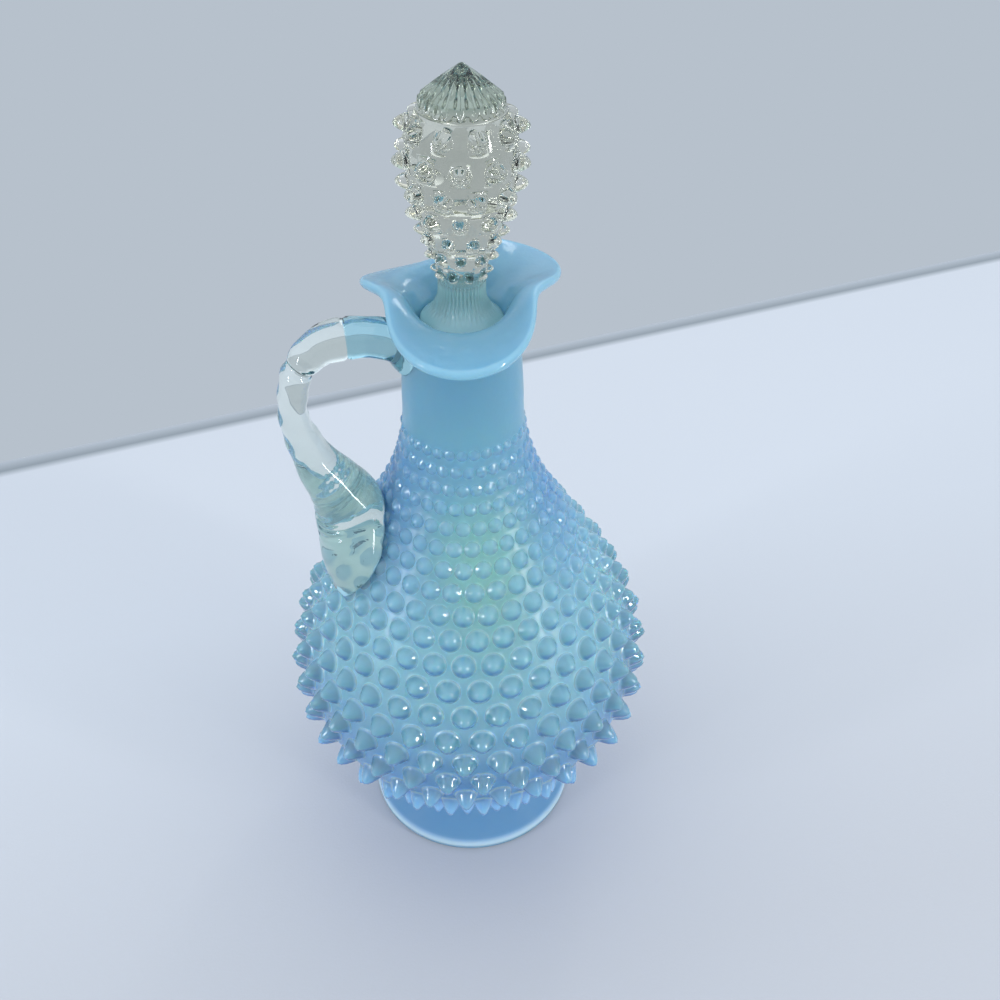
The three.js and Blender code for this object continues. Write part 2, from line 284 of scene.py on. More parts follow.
def length(name, text, millimetres):
    """A length property whose default is in millimetres."""
    return FloatProperty(
        name=name, description=text, default=millimetres * MM, min=0, unit="LENGTH", subtype="DISTANCE"
    )


def share(name, text, default, top=1.0):
    """A plain number property from nothing up."""
    return FloatProperty(name=name, description=text, default=default, min=0, max=top)


class BottleSettings(bpy.types.PropertyGroup):
    knob_spread: share("Knob spread", "Radius of a knob's base over the distance between two knobs", 0.44)
    knob_crowding: share("Knob crowding", "How much of that is added near the neck", 0.07)
    knob_fullness: share("Knob fullness", "1.2 is a cone with a rounded tip, 2 is a dome", 1.75, 3.0)
    knob_unevenness: share("Knob unevenness", "How much the knobs differ, as handwork leaves them", 0.06)
    valley_colour: colour("Valley colour", "Opalescent glass between the knobs", "B6EAFC")
    knob_colour: colour("Knob colour", "Clearer glass of the knobs at mid height", "80BAC6")
    low_knob_colour: colour("Low knob colour", "Clearer glass of the lowest knobs", "8ABEEE")
    top_knob_colour: colour("Top knob colour", "Clearer glass of the small knobs near the neck", "6CAAD4")
    shoulder_colour: colour("Shoulder colour", "Bluer glass of the upper body", "78B2E2")
    # Painted shade: a deeper blue on the sides of the knobs that face down
    painted_underside_shade_colour: colour("Underside colour", "Deeper blue of the sides that face down", "5488C4")
    neck_colour: colour("Neck colour", "Glass of the neck", "8CC8E0")
    foot_colour: colour("Foot colour", "Glass of the foot", "6EA2C8")
    # Painted light: the greener glow on the front, where light coming through the vessel gathers
    front_glow_colour: colour("Thin colour", "Greener glass where the wall is thinnest, on the front", "A4DCD0")
    # Partly the glass's own blue, partly painted light that brightens the valleys between the lower knobs
    low_colour: colour("Low colour", "Blue between the lower knobs", "90C8FF")
    # Painted shade: deep blue between the lowest knobs, under the body's bulge
    deep_colour: colour("Deep colour", "Deep blue between the lowest knobs", "5E8EE8")
    # Painted light: the pale ring that each knob throws on the wall round its foot
    painted_ring_light_colour: colour("Ring colour", "Pale light that a knob throws on the wall round it", "E4FCFF")
    # Painted highlight: a pale line of light along the foot's edge
    rim_colour: colour("Rim colour", "Pale edge on which the foot stands", "C8E4FC")
    lip_colour: colour("Lip colour", "Milky glass of the lip", "78A8BC")
    lining_colour: colour("Lining colour", "Milky glass of the body's inner face", "ECFFFC")
    foot_milk: share("Foot milk", "How milky the glass of the foot is", 0.8)
    body_milk: share("Body milk", "How milky the body's outer glass is", 0.3)
    neck_milk: share("Neck milk", "How milky the glass of the neck is", 0.5)
    lip_milk: share("Lip milk", "How milky the glass of the lip is", 0.9)
    lining_milk: share("Lining milk", "How milky the inner face of the body is", 0.93)
    edge_paleness: share("Edge paleness", "How much paler than the lip its edge is", 0.08)


class HandleSettings(bpy.types.PropertyGroup):
    gap: length("Gap", "Space left between the handle and the bottle", 0.15)
    tint: colour("Tint", "Clear glass", "F5F9F3")
    root_tint: colour("Root tint", "Glass of the root's own gather, which took up some blue", "B8E4EE")
    fused_colour: colour("Fused colour", "Milky glass seen through the handle between the knobs", "E4FFFF")
    fused_knob_colour: colour("Fused knob colour", "Knobs seen through the handle", "C0E8F4")
    ripple: length("Ripple", "Height of the waves that the tools leave", 0.2)
    pad_ripple: length("Pad ripple", "Height of the folds across the pad", 0.45)


class StopperSettings(bpy.types.PropertyGroup):
    knob_spread: share("Knob spread", "Radius of a knob's base over the distance between two knobs", 0.31)
    knob_fullness: share("Knob fullness", "1.2 is a cone with a rounded tip, 2 is a dome", 2.1, 3.0)
    cap_flutes: IntProperty(name="Cap flutes", description="Flutes round the cap", default=20, min=3)
    cap_flute_depth: length("Cap flute depth", "Depth of the cap's flutes", 1.0)
    flutes: IntProperty(name="Stem flutes", description="Flutes round the stem", default=40, min=3)
    flute_depth: length("Stem flute depth", "Depth of the stem's flutes", 0.75)
    plug_ease: length("Plug ease", "How much thinner the ground plug is drawn, on the radius", 0.15)
    tint: colour("Tint", "Clear pressed glass", "F4F1E6")
    cap_colour: colour("Cap colour", "Glass of the cap, seen through its depth", "B0C4B0")
    # Partly the frosted glass's own pale colour, partly painted light: the blue thrown on it from round
    # about
    frost_and_blue_light_colour: colour("Frost colour", "Ground plug and stem, lit by the blue around them", "A4ECF4")


class StageSettings(bpy.types.PropertyGroup):
    floor_colour: colour("Floor colour", "Plain pale floor", "C4C7CB")
    # Painted shade: the floor a little darker close to the camera
    near_shade_colour: colour("Near colour", "The floor close to the camera, where less light falls", "B8B9BC")
    # Painted shade: the soft dark line of the gap along the floor's far edge
    gap_shade_colour: colour("Edge colour", "Soft line along the floor's far edge", "848B8F")
    rest_colour: colour("Rest colour", "Beyond that line, like the wall", "A8ADB2")
    wall_colour: colour("Wall colour", "Plain grey surroundings, beyond the floor's edge", "B7C1CC")
    ceiling_colour: colour("Ceiling colour", "Pale ceiling, which lights the scene from above", "DDE6F2")
    room_colour: colour("Room colour", "Room on the camera's side, above the floor", "C4CCD4")
    ceiling_strength: share("Ceiling strength", "How bright the light from above the floor is", 1.5, 5.0)


# Geometry helpers


def lerp(a, b, t):
    return a + (b - a) * t


def way(value, start, end):
    """How far a value has come from start to end, from 0 to 1."""
    return np.clip((value - start) / (end - start), 0, 1)


def circle_points(radius, height, angles):
    """Points at the angles. Radius and height are one number or one for each angle."""
    flat = np.zeros_like(angles)
    return np.stack([(radius + flat) * np.cos(angles), (radius + flat) * np.sin(angles), height + flat], 1)


def pole(height):
    return np.array([[0.0, 0.0, height]])


def add_object(name, data):
    thing = bpy.data.objects.new(name, data)
    bpy.context.scene.collection.objects.link(thing)
    return thing


def loft(name, rings, values, slots=None):
    """One closed mesh from rings of points in millimetres.

    A ring of one point closes an end, and a ring may have twice as many points as the one beside it.
    Values holds numbers for each point. Slots gives each four-sided face its material's place.
    """
    starts = np.cumsum([0] + [len(r) for r in rings])
    quads, triangles = [], []
    for i in range(len(rings) - 1):
        below, above = len(rings[i]), len(rings[i + 1])
        j = np.arange(max(below, above))
        k = (j + 1) % max(below, above)
        a, b = starts[i] + j % below, starts[i] + k % below
        d, c = starts[i + 1] + j % above, starts[i + 1] + k % above
        if below == 1:
            triangles.append(np.stack([a, c, d], 1))
        elif above == 1:
            triangles.append(np.stack([a, b, d], 1))
        elif below == above:
            quads.append(np.stack([a, b, c, d], 1))
        else:
            many, few = (starts[i], starts[i + 1]) if below > above else (starts[i + 1], starts[i])
            left = np.arange(min(below, above))
            right = (left + 1) % min(below, above)
            first, middle, last = many + 2 * left, many + 2 * left + 1, many + 2 * right
            left, right = few + left, few + right
            for fan in ((first, middle, left), (middle, last, right), (middle, right, left)):
                triangles.append(np.stack(fan if below > above else fan[::-1], 1))
    faces = [*np.concatenate(quads).tolist(), *np.concatenate(triangles).tolist()]
    mesh = bpy.data.meshes.new(name)
    mesh.from_pydata((np.concatenate(rings) * MM).tolist(), [], faces, shade_flat=False)
    mesh.validate()
    if slots is not None:
        places = np.zeros(len(faces), np.int32)
        places[: len(slots)] = slots
        mesh.polygons.foreach_set("material_index", places)
    for key, numbers in values.items():
        layer = mesh.attributes.new(key, "FLOAT", "POINT")
        layer.data.foreach_set("value", np.concatenate(numbers).astype(np.float32))
    return add_object(name, mesh)


# The body's wall, as tables against height


def wall_radius(height):
    """Radius of the outside between the knobs, from the foot's rim to the top of the neck."""
    h = np.asarray(height, float)
    flare = way(h, WAIST_HEIGHT, FOOT_RIM_HEIGHT) ** FOOT_FLARE
    under = (1 - way(h, BODY_WIDEST_HEIGHT, WAIST_HEIGHT) ** BODY_UNDER_FULLNESS) ** BODY_UNDER_FALL
    shoulder = (1 - way(h, BODY_WIDEST_HEIGHT, NECK_BASE_HEIGHT) ** 2) ** SHOULDER_FALL
    neck = way(h, NECK_BASE_HEIGHT, NECK_TOP_HEIGHT)
    return np.select(
        [h < WAIST_HEIGHT, h < BODY_WIDEST_HEIGHT, h < NECK_BASE_HEIGHT],
        [
            lerp(WAIST_RADIUS, FOOT_RADIUS, flare),
            lerp(WAIST_RADIUS, BODY_RADIUS, under),
            lerp(NECK_BASE_RADIUS, BODY_RADIUS, shoulder),
        ],
        lerp(NECK_BASE_RADIUS, NECK_TOP_RADIUS, neck),
    )


# One point every twentieth of a millimetre

TABLE_HEIGHTS = np.linspace(FOOT_RIM_HEIGHT, NECK_TOP_HEIGHT, 4373)
TABLE_RADII = wall_radius(TABLE_HEIGHTS)
TABLE_SLOPES = np.gradient(TABLE_RADII, TABLE_HEIGHTS)
TABLE_STEPS = np.hypot(np.diff(TABLE_RADII), np.diff(TABLE_HEIGHTS))
TABLE_LENGTHS = np.concatenate([[0], np.cumsum(TABLE_STEPS)])


def radius_at(height):
    return np.interp(height, TABLE_HEIGHTS, TABLE_RADII)


def length_at(height):
    """Distance along the wall from the foot's rim."""
    return np.interp(height, TABLE_HEIGHTS, TABLE_LENGTHS)


def height_at(distance):
    return np.interp(distance, TABLE_LENGTHS, TABLE_HEIGHTS)


def wall_normal(height):
    """Outward normal of the wall, as its radial and its upward part."""
    slope = np.interp(height, TABLE_HEIGHTS, TABLE_SLOPES)
    size = np.hypot(1, slope)
    return 1 / size, -slope / size


def off_wall(height, distance):
    outward, upward = wall_normal(height)
    return radius_at(height) + distance * outward, height + distance * upward


# Knobs. Their rows are staggered by half a knob.


def body_rows():
    """Heights of the knob rows on the wall."""
    heights = []
    height = LOWEST_KNOB_HEIGHT
    while height < NECK_BASE_HEIGHT - BARE_SHOULDER:
        heights.append(float(height))
        size = (wall_radius(height) - NECK_BASE_RADIUS) / (BODY_RADIUS - NECK_BASE_RADIUS)
        height += lerp(KNOB_PITCH_AT_NECK, KNOB_PITCH_AT_WIDEST, size) * wall_normal(height)[0]
    return np.array(heights)


ROW_HEIGHTS = body_rows()
ROW_PLACES = length_at(ROW_HEIGHTS)


def knob_profile(out, fullness):
    """Rise of a knob from 1 at its tip to 0 at its base, where out is 1."""
    return np.clip(1 - np.clip(out, 0, 1) ** fullness, 0, 1) ** KNOB_ROUNDING


def knob_tip(height):
    """Height of a knob above the wall: full below the body's widest place, less towards the neck."""
    shrink = 1 if height < BODY_WIDEST_HEIGHT else float(wall_radius(height)) / BODY_RADIUS
    return KNOB_HEIGHT * shrink**KNOB_HEIGHT_FALL


def knob_base(look, height, near):
    """Radius of a knob's base on the wall, where near is half the way to the closest row."""
    radius = float(wall_radius(height))
    spread = look.knob_spread + look.knob_crowding * (1 - radius / BODY_RADIUS)
    return min(spread * TURN * radius / KNOBS_PER_ROW, KNOB_LARGEST_SHARE * near)


def disc_place(u, v):
    """Maps a place in the square from -1 to 1 to the round disc, so that grid lines follow circles."""
    wide = np.abs(u) >= np.abs(v)
    most, least = np.where(wide, u, v), np.where(wide, v, u)
    angle = np.pi / 4 * least / np.where(most == 0, 1, most)
    far, aside = np.sign(most) * np.cos(angle), np.sign(most) * np.sin(angle)
    x, y = np.where(wide, far, aside), np.where(wide, aside, far)
    out = np.abs(most) * (1 + DISC_CROWDING - DISC_CROWDING * np.abs(most))
    return out * x, out * y, out


def knob_cells(columns, cell, inner, staggered):
    """For each column of a ring: its place from its knob's middle, that as a share of the knob's disc,
    and how far it lies beyond the disc, up to 1 halfway to the next knob."""
    half = cell // 2
    q = (np.arange(columns) - staggered * half + half) % cell - half
    return q, np.clip(q / inner, -1, 1), way(np.abs(q), inner, half)


def knob_band(row, pitch, base):
    """Places of one row's rings over its knobs.

    Gives for each ring the sideways places, the places along the wall, both in millimetres from the
    even grid's column and the row's middle, and how far out on the knob each point is.
    """
    q, u, beyond = knob_cells(BOTTLE_COLUMNS, CELL_COLUMNS, INNER_COLUMNS, row % 2)
    rings = []
    for i in range(-INNER_RINGS, INNER_RINGS + 1):
        x, y, out = disc_place(u, np.full(BOTTLE_COLUMNS, i / INNER_RINGS))
        x = lerp(base * x, np.sign(q) * pitch / 2, beyond)
        out = np.where(beyond > 0, 1.0 + beyond, out)
        rings.append((x - q * pitch / CELL_COLUMNS, base * y, out))
    return rings


def knob_number(row):
    """Which knob of its row each column belongs to."""
    half = CELL_COLUMNS // 2
    return ((np.arange(BOTTLE_COLUMNS) - row % 2 * half + half) // CELL_COLUMNS) % KNOBS_PER_ROW


# Lip


def lobe_share(angle):
    """1 in the middle of a lobe, -1 in the middle of a crimp."""
    away = angle - WIDE_LOBE_ANGLE
    return np.cos(LOBES * (away - WIDE_LOBE_SPREAD * np.sin(away)))


def rim_pull(angle):
    """How far the rim is pulled in and down, which makes the back lobes unlike."""
    inward, down = 0, 0
    for middle, spread, pull_in, pull_down in RIM_PULLS:
        turn = (angle - np.radians(middle) + np.pi) % TURN - np.pi
        part = (1 + np.cos(np.pi * np.minimum(np.abs(turn) / np.radians(spread), 1))) / 2
        inward, down = inward + part * pull_in, down + part * pull_down
    return inward, down


def rim_radius(angle):
    return lerp(CRIMP_RADIUS, LOBE_RADIUS, (1 + lobe_share(angle)) / 2) - rim_pull(angle)[0]


def rim_height(angle):
    droop = WIDE_LOBE_DROOP * np.cos(angle - WIDE_LOBE_ANGLE)
    rise = lerp(CRIMP_RISE, LOBE_RISE, (1 + lobe_share(angle)) / 2)
    return NECK_TOP_HEIGHT + rise - droop - rim_pull(angle)[1]


def bend(start, towards, end, t):
    """A curve from one place to another that sets off towards a third."""
    weights = ((1 - t) ** 2, 2 * t * (1 - t), t**2)
    return [sum(w * p[i] for w, p in zip(weights, (start, towards, end))) for i in (0, 1)]


BORE_TOP = PLUG_TOP_RADIUS + PLUG_CLEARANCE
BORE_BOTTOM = PLUG_BOTTOM_RADIUS + PLUG_CLEARANCE


def fold_radius(angle):
    return (NECK_TOP_RADIUS + BORE_TOP) / 2 + FOLD_SWING * (1 + lobe_share(angle)) / 2


def lip_underside(angle, t):
    edge = rim_radius(angle) - LIP_THICKNESS / 4
    return bend(
        (NECK_TOP_RADIUS, NECK_TOP_HEIGHT),
        (fold_radius(angle) + LIP_THICKNESS, NECK_TOP_HEIGHT + FOLD_RISE - LIP_UNDER_THICKNESS),
        (edge, rim_height(angle) - LIP_THICKNESS),
        t,
    )


def lip_top(angle, t):
    edge = rim_radius(angle) - LIP_THICKNESS / 4
    return bend(
        (BORE_TOP, PLUG_TOP_HEIGHT),
        (fold_radius(angle), NECK_TOP_HEIGHT + FOLD_RISE),
        (edge, rim_height(angle)),
        t,
    )


# Bottle

BOTTLE_COLUMNS = KNOBS_PER_ROW * CELL_COLUMNS
BOTTLE_ANGLES = np.radians(KNOB_TURN) + TURN * np.arange(BOTTLE_COLUMNS) / BOTTLE_COLUMNS


def knobbed_rings(look):
    """Rings of the body between its lowest and highest knob row, and how much each point is knob."""
    chance = np.random.default_rng(7)
    gaps = np.diff(ROW_PLACES)
    lows = np.concatenate([[gaps[0]], gaps]) / 2
    highs = np.concatenate([gaps, [gaps[-1]]]) / 2
    rings, values = [], []

    def add(sideways, along, rise, knob):
        height = height_at(along)
        r, z = off_wall(height, rise)
        wall_r = radius_at(height)
        rings.append(circle_points(r, z, BOTTLE_ANGLES + sideways / wall_r))
        values.append(knob)

    none = np.zeros(BOTTLE_COLUMNS)
    add(none, ROW_PLACES[0] - lows[0] + none, none, none)
    for row, (height, place) in enumerate(zip(ROW_HEIGHTS, ROW_PLACES)):
        pitch = TURN * float(wall_radius(height)) / KNOBS_PER_ROW
        base = knob_base(look, height, min(lows[row], highs[row]))
        number = knob_number(row)
        uneven = look.knob_unevenness * np.interp(height, UNEVEN_HEIGHTS, UNEVEN_GROWTH)
        size = 1 - uneven * chance.random(KNOBS_PER_ROW)
        lean = uneven * base * chance.normal(0, KNOB_LEAN, (2, KNOBS_PER_ROW))
        for sideways, along, out in knob_band(row, pitch, base):
            rise = knob_profile(out, look.knob_fullness)
            tall = knob_tip(height) * size[number] * rise
            aside, upwards = rise * lean[0][number], rise * lean[1][number]
            add(sideways + aside, place + along + upwards, tall, rise)
        add(none, place + highs[row] + none, none, none)
    return rings, values


def front_glow_share(points):
    """1 in the middle of the patch of painted glow on the front, falling to 0 around it."""
    away = np.arctan2(points[:, 1], points[:, 0]) - FRONT_GLOW_ANGLE
    aside = away * np.hypot(points[:, 0], points[:, 1]) / FRONT_GLOW_HALF_WIDTH
    along = (points[:, 2] - FRONT_GLOW_HEIGHT) / FRONT_GLOW_HALF_HEIGHT
    return np.exp(-(aside**2) - along**2)


# Milkiness at which the blown surface starts to be glossy, and at which it is fully so

GLOSSY_MILK = (0.55, 0.8)


def bottle_rings(look):
    """Rings of the whole bottle, from the middle of its underside round to the floor inside.

    Gives for each point how much it is knob, how milky the glass is, how pale (the inner face, and the
    lip's edge a little), how much painted glow it gets on the front, how clearly its knob shows and how
    dull. The lip and the foot are glossy, the wall between the knobs is not.
    """
    rings, knob, milk = [], [], []
    plain = BOTTLE_ANGLES[::2]

    def add(r, z, milky):
        ring = circle_points(r, z, plain)
        rings.append(ring)
        knob.append(np.zeros(len(ring)))
        milk.append(np.full(len(ring), float(milky)))

    def close(z, milky):
        rings.append(pole(z))
        knob.append(np.zeros(1))
        milk.append(np.full(1, milky))

    foot, body, neck, lip = look.foot_milk, look.body_milk, look.neck_milk, look.lip_milk
    outer = FOOT_RADIUS - FOOT_EDGE_ROUNDING
    inner = outer - FOOT_RING_WIDTH
    close(FOOT_RECESS_DEPTH, foot)
    add(inner / 2, FOOT_RECESS_DEPTH, foot)
    for inward, height in RECESS:
        add(inner - inward, height, foot)
    for turn in np.linspace(-np.pi / 2, 0, 5):
        add(outer + FOOT_EDGE_ROUNDING * np.cos(turn), FOOT_EDGE_ROUNDING * (1 + np.sin(turn)), foot)
    first = height_at(length_at(LOWEST_KNOB_HEIGHT) - BARE_BELOW_KNOBS)
    band = np.linspace(FOOT_RIM_HEIGHT, FOOT_BAND_TOP, 4)
    for height in np.concatenate([band, np.linspace(FOOT_BAND_TOP + 2, first, 11)[:-1]]):
        add(*off_wall(height, 0), foot)
    knobbed, shares = knobbed_rings(look)
    rings += knobbed
    knob += shares
    for ring, part in zip(knobbed, shares):
        z = ring[:, 2]
        plain_milk = np.interp(z, [first, BODY_WIDEST_HEIGHT, NECK_BASE_HEIGHT], [foot, body, neck])
        milk.append(plain_milk * (1 + np.interp(z, KNOB_MILK_HEIGHTS, KNOB_MILK) * part))
    top = height_at(ROW_PLACES[-1] + BARE_ABOVE_KNOBS)
    for height in np.linspace(top, NECK_TOP_HEIGHT, 8)[1:-1]:
        add(*off_wall(height, 0), neck)
    for t in np.linspace(0, 1, 12):
        add(*lip_underside(plain, t), lerp(neck, lip, min(1, 2 * t)))
    edge_start = len(rings)
    half = LIP_THICKNESS / 2
    for turn in np.linspace(-np.pi / 2, np.pi / 2, 9)[1:-1]:
        edge = rim_radius(plain) - half / 2
        add(edge + half * np.cos(turn), rim_height(plain) - half + half * np.sin(turn), lip)
    edge_end = len(rings)
    for t in np.linspace(1, 0, 16):
        add(*lip_top(plain, t), lip)
    seat_end = PLUG_BOTTOM_HEIGHT - PLUG_CLEARANCE
    for height in np.linspace(PLUG_TOP_HEIGHT, seat_end, 5)[1:]:
        add(np.interp(height, [seat_end, PLUG_TOP_HEIGHT], [BORE_BOTTOM, BORE_TOP]), height, neck)
    outside = len(rings)
    floor_height = WAIST_HEIGHT + FLOOR_THICKNESS
    for height in np.linspace(seat_end - SEAT_RUNOUT, floor_height + WALL, 16):
        add(*off_wall(height, -WALL), look.lining_milk)
    add(WAIST_RADIUS / 2, floor_height, look.lining_milk)
    close(floor_height, look.lining_milk)
    paleness = np.zeros(len(rings))
    paleness[outside:] = 1
    paleness[edge_start:edge_end] = look.edge_paleness
    dull = [np.interp(ring, GLOSSY_MILK, (1, 0)) for ring in milk[:outside]]
    values = {
        "knob": knob,
        "milk": milk,
        "pale": [np.full(len(ring), part) for ring, part in zip(rings, paleness)],
        "thin": [front_glow_share(ring) for ring in rings],
        "shown": [np.interp(ring[:, 2], KNOBS_SHOWN_HEIGHTS, KNOBS_SHOWN) for ring in rings],
        "dull": dull + [np.ones(len(ring)) for ring in rings[outside:]],
    }
    return rings, values


# Stopper

STOPPER_COLUMNS = STOPPER_KNOBS * STOPPER_CELL_COLUMNS
STOPPER_ANGLES = np.radians(STOPPER_TURN) + TURN * np.arange(STOPPER_COLUMNS) / STOPPER_COLUMNS


def head_radius(height):
    rise = way(height, HEAD_WIDEST, CAP_BOTTOM)
    drop = way(height, HEAD_WIDEST, HEAD_BOTTOM)
    upper = HEAD_RADIUS * np.sqrt(1 - HEAD_TOP_ROUNDING * rise**2)
    lower = STEM_RADIUS + (HEAD_RADIUS - STEM_RADIUS) * (1 - drop**2) ** HEAD_FALL
    return np.where(height > HEAD_WIDEST, upper, lower)


def head_rows():
    """Heights of the head's knob rows from the lowest up: the pitch grows towards the top."""
    span = CAP_BOTTOM - HEAD_BOTTOM - TOP_KNOB_GAP - LOW_KNOB_GAP
    powers = STOPPER_KNOB_PITCH_FALL ** np.arange(STOPPER_KNOB_ROWS - 1, -1, -1)
    whole = 1 - STOPPER_KNOB_PITCH_FALL ** (STOPPER_KNOB_ROWS - 1)
    return CAP_BOTTOM - TOP_KNOB_GAP - span * (1 - powers) / whole


def leaned(points):
    """The stopper doesn't stand quite straight in its neck: it leans about the middle of its plug."""
    pivot = (PLUG_BOTTOM_HEIGHT + PLUG_TOP_HEIGHT) / 2
    towards = np.array([np.cos(LEAN_TOWARDS), np.sin(LEAN_TOWARDS), 0])
    along, up = points @ towards, points[:, 2] - pivot
    turned = along * np.cos(STOPPER_LEAN) + up * np.sin(STOPPER_LEAN)
    raised = up * np.cos(STOPPER_LEAN) - along * np.sin(STOPPER_LEAN)
    return points + np.outer(turned - along, towards) + np.outer(raised - up, [0, 0, 1])


def stopper_rings(look):
    """Rings of the stopper from the plug's end up to its point, and how frosted each point is."""
    a = STOPPER_ANGLES
    rings, frost = [pole(PLUG_BOTTOM_HEIGHT)], [np.ones(1)]

    def add(r, z, angles=a):
        rings.append(circle_points(r, z, angles))
        frost.append(np.full(len(a), np.interp(np.max(z), FROST_HEIGHTS, FROST)))

    ease = look.plug_ease / MM
    add(PLUG_BOTTOM_RADIUS / 2, PLUG_BOTTOM_HEIGHT)
    for turn in np.linspace(-np.pi / 2, 0, 5):
        radius = PLUG_BOTTOM_RADIUS - ease - PLUG_EDGE_ROUNDING * (1 - np.cos(turn))
        add(radius, PLUG_BOTTOM_HEIGHT + PLUG_EDGE_ROUNDING * (1 + np.sin(turn)))
    for t in np.linspace(0, 1, 6)[1:]:
        height = lerp(PLUG_BOTTOM_HEIGHT + PLUG_EDGE_ROUNDING, PLUG_TOP_HEIGHT, t)
        add(lerp(PLUG_BOTTOM_RADIUS, PLUG_TOP_RADIUS, t) - ease, height)
    flute = look.flute_depth / MM * np.abs(np.sin(look.flutes * (a - a[0]) / 2))
    for rise, radius in STEM:
        height = PLUG_TOP_HEIGHT + rise
        add(radius - flute * np.interp(height, FLUTE_START, [0, 1]), height)
    rows = head_rows()
    highs = np.concatenate([np.diff(rows) / 2, [CAP_BOTTOM - rows[-1] - HEAD_TO_CAP_GAP]])
    for row, height in enumerate(rows):
        radius = float(head_radius(height))
        pitch = TURN * radius / STOPPER_KNOBS
        base = min(look.knob_spread * pitch, highs[row] * STOPPER_KNOB_LARGEST_SHARE)
        tall = STOPPER_KNOB_HEIGHT * radius / HEAD_RADIUS
        staggered = (STOPPER_KNOB_ROWS - row) % 2
        q, u, beyond = knob_cells(STOPPER_COLUMNS, STOPPER_CELL_COLUMNS, STOPPER_INNER_COLUMNS, staggered)
        for v in np.linspace(-1, 1, STOPPER_KNOB_RINGS):
            x, y, out = disc_place(u, np.full(len(q), v))
            x = lerp(base * x, np.sign(q) * pitch / 2, beyond)
            z = height + base * y
            rise = knob_profile(np.where(beyond > 0, 1.0, out), look.knob_fullness)
            add(head_radius(z) + tall * rise, z, a + (x - q * pitch / STOPPER_CELL_COLUMNS) / radius)
        add(head_radius(height + highs[row]), height + highs[row])
    groove = np.abs(np.sin(look.cap_flutes * (a - a[0]) / 2)) ** CAP_FLUTE_ROUNDING
    for rise, radius, part in CAP:
        add(radius - look.cap_flute_depth / MM * groove * part, CAP_BOTTOM + rise)
    rings.append(pole(STOPPER_TOP))
    frost.append(np.zeros(1))
    return [leaned(ring) for ring in rings], {"frost": frost}


# Handle


def handle_stations():
    """Distance from the axis, height, thickness, width and how far the section bends round the body."""
    root, top = NECK_TOP_RADIUS, HANDLE_TOP

    def pad(t, width, sink=PAD_SINK):
        height = HEEL_HEIGHT - PAD_LENGTH * t
        rise = HEEL_THICKNESS * (1 - t) ** PAD_FALL + PAD_EDGE
        radius = float(wall_radius(height))
        return [radius + knob_tip(height) + (rise - sink) / 2, height, rise + sink, width, 1]

    heel = pad(0, 0.72 * PAD_WIDTH, HEEL_SINK)

    def between(across, down, growth):
        return [
            lerp(HANDLE_REACH, heel[0], across),
            lerp(HANDLE_REACH_HEIGHT, heel[1], down),
            lerp(HANDLE_ROD_THICKNESS, heel[2], growth),
            lerp(HANDLE_WIDTH, heel[3], growth),
            across * growth,
        ]

    thick, rod, wide = HANDLE_TOP_THICKNESS, HANDLE_ROD_THICKNESS, HANDLE_WIDTH
    return np.array(
        [
            [root - HANDLE_ROOT_SINK, top - HANDLE_ROOT_DROP, 1.35 * thick, 1.3 * wide, 0],
            [root + 3, top + 1.5, thick, wide, 0],
            [root + 10, top + 4, thick, wide, 0],
            [lerp(root, HANDLE_REACH, 0.64), top + 4, thick, wide, 0],
            [lerp(root, HANDLE_REACH, 0.88), top - 2.2, rod, wide, 0],
            [HANDLE_REACH - 1.6, top - 9, rod, wide, 0],
            [HANDLE_REACH, HANDLE_REACH_HEIGHT, rod, wide, 0],
            between(0.38, 0.49, 0.36),
            between(0.74, 0.75, 0.72),
            heel,
            pad(1 / 3, PAD_WIDTH),
            pad(2 / 3, PAD_WIDTH),
            pad(1, 0.7 * PAD_WIDTH),
        ]
    )


def through(points, steps):
    """A smooth curve through the points, which sets its pace by the distance between them."""
    ends = np.concatenate([[2 * points[0] - points[1]], points, [2 * points[-1] - points[-2]]])
    paces = np.maximum(np.linalg.norm(np.diff(ends[:, :2], axis=0), axis=1) ** 0.5, 1e-4)
    out = []
    for t in np.linspace(0, len(points) - 1, steps):
        i = min(int(t), len(points) - 2)
        w = t - i
        p0, p1, p2, p3 = ends[i : i + 4]
        d0, d1, d2 = paces[i : i + 3]
        m1 = d1 * ((p1 - p0) / d0 - (p2 - p0) / (d0 + d1) + (p2 - p1) / d1)
        m2 = d1 * ((p2 - p1) / d1 - (p3 - p1) / (d1 + d2) + (p3 - p2) / d2)
        to_p2 = 3 * w**2 - 2 * w**3
        out.append((1 - to_p2) * p1 + to_p2 * p2 + (w**3 - 2 * w**2 + w) * m1 + (w**3 - w**2) * m2)
    return np.array(out)


def knob_rise_at(along, angle, look):
    """Height of the knobs above the wall at places given along the wall and round it."""
    rise = np.zeros_like(along)
    step = TURN / KNOBS_PER_ROW
    for row, (height, place) in enumerate(zip(ROW_HEIGHTS, ROW_PLACES)):
        turned = angle - np.radians(KNOB_TURN) - (row % 2) * step / 2
        aside = (turned + step / 2) % step - step / 2
        base = knob_base(look, height, np.abs(np.delete(ROW_PLACES, row) - place).min() / 2)
        out = np.hypot(aside * float(wall_radius(height)), along - place) / base
        rise = np.maximum(rise, knob_tip(height) * knob_profile(out, look.knob_fullness))
    return rise


